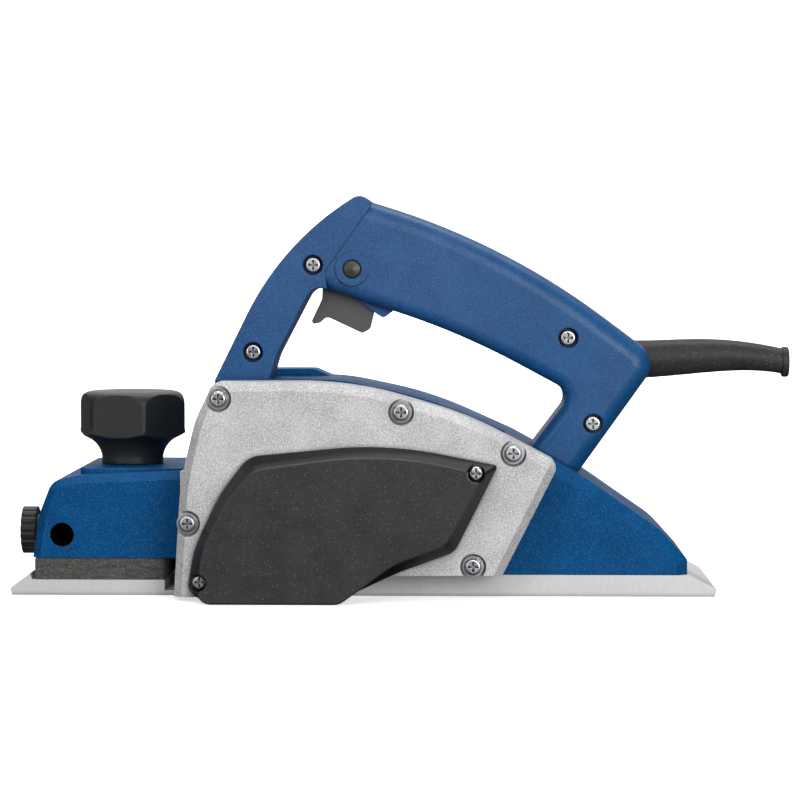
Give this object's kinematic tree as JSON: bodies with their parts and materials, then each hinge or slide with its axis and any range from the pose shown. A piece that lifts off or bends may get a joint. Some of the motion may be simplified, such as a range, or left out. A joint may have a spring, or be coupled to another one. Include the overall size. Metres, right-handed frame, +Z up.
{
  "type": "electric hand planer",
  "caption": "Electric hand planer with a looped handle, cast side bracket, belt cover, adjustable front shoe with a hexagonal depth knob, and a spinning cutter drum.",
  "frame": {"origin": "the sole mount: a point on the sole plane, half-way across the tool and near the middle of its length", "axes": "+X towards the cord guard, -Y the belt cover side, +Z up"},
  "size_m": [0.3252, 0.152, 0.1648],
  "materials": {
    "sole_aluminium": "fine brushed casting",
    "seal_foam": "dark speckled foam",
    "blue_plastic": "satin with a fine sparkle texture",
    "silver_casting": "hammered silver paint",
    "cover_plastic": "fine moulded texture",
    "zinc_screw": "bright zinc",
    "knob_plastic": "satin",
    "turned_steel": "turned",
    "drum_steel": "machined",
    "blade_steel": "ground",
    "bearing_steel": "polished",
    "pulley_aluminium": "turned",
    "belt_rubber": "matt",
    "core_steel": "laminated",
    "copper_winding": "enamelled wire",
    "copper_bar": "bare metal",
    "fan_plastic": "moulded",
    "carbon": "matt carbon",
    "trigger_plastic": "satin",
    "guard_rubber": "satin rubber"
  },
  "bodies": {
    "planer": {"rear_base": "sole_aluminium", "foam_seal": "seal_foam", "front_housing": "blue_plastic", "body_housing": "blue_plastic", "handle_left": "blue_plastic", "handle_right": "blue_plastic", "motor_cover": "blue_plastic", "side_bracket": "silver_casting", "belt_cover": "cover_plastic", "bracket_screws": "zinc_screw", "bracket_washers": "zinc_screw", "cover_screws": "zinc_screw", "handle_screws": "zinc_screw", "motor_cover_screws": "zinc_screw", "drum_bearings_outer": "bearing_steel", "motor_bearings_outer": "bearing_steel", "drive_belt": "belt_rubber", "stator_core": "core_steel", "field_coils": "copper_winding", "carbon_brushes": "carbon", "brush_holders": "copper_bar", "chip_outlet": "cover_plastic", "switch_body": "cover_plastic", "cord_guard": "guard_rubber"},
    "shoe": {"front_shoe": "sole_aluminium"},
    "knob": {"depth_knob": "knob_plastic", "depth_spindle": "turned_steel"},
    "drum": {"cutter_drum": "drum_steel", "set_plates": "turned_steel", "blades": "blade_steel", "clamp_plates": "turned_steel", "blade_bolts": "zinc_screw", "drum_bearings_inner": "bearing_steel", "drum_pulley": "pulley_aluminium"},
    "armature": {"armature_shaft": "turned_steel", "armature_core": "core_steel", "armature_windings": "copper_winding", "commutator": "copper_bar", "cooling_fan": "fan_plastic", "motor_bearings_inner": "bearing_steel", "motor_pulley": "pulley_aluminium"},
    "trigger_body": {"trigger": "trigger_plastic"},
    "button": {"lock_button": "trigger_plastic"},
    "fence_clamp": {"fence_knob": "knob_plastic", "fence_screw": "turned_steel"}
  },
  "joints": [
    {"name": "knob_turn", "type": "hinge", "parent": "planer", "child": "knob", "pos_m": [-0.1, 0, 0.06], "axis": [0, 0, 1], "range_deg": [0, 270]},
    {"name": "shoe_lift", "type": "slide", "parent": "planer", "child": "shoe", "axis": [0, 0, 1], "range_m": [0, 0.0015], "deforming": ["foam_seal"]},
    {"name": "drum_spin", "type": "hinge", "parent": "planer", "child": "drum", "pos_m": [-0.046, 0, 0.024], "axis": [0, 1, 0], "continuous": true},
    {"name": "armature_spin", "type": "hinge", "parent": "planer", "child": "armature", "pos_m": [0.014, 0, 0.048], "axis": [0, 1, 0], "continuous": true},
    {"name": "trigger_pull", "type": "slide", "parent": "planer", "child": "trigger_body", "axis": [0.4108, 0, 0.9117], "range_m": [0, 0.006], "stiffness_N_per_m": 600, "springref_m": -0.005},
    {"name": "lock_button_press", "type": "slide", "parent": "planer", "child": "button", "axis": [0, 1, 0], "range_m": [0, 0.003], "stiffness_N_per_m": 800, "springref_m": -0.002},
    {"name": "fence_clamp_turn", "type": "hinge", "parent": "planer", "child": "fence_clamp", "pos_m": [-0.14, 0, 0.0229], "axis": [1, 0, 0], "range_deg": [0, 360]}
  ],
  "couplings": [
    {"joint": "knob_turn", "follows": "shoe_lift", "rad_per_m": 3141.6},
    {"joint": "armature_spin", "follows": "drum_spin", "ratio": 1.6}
  ]
}
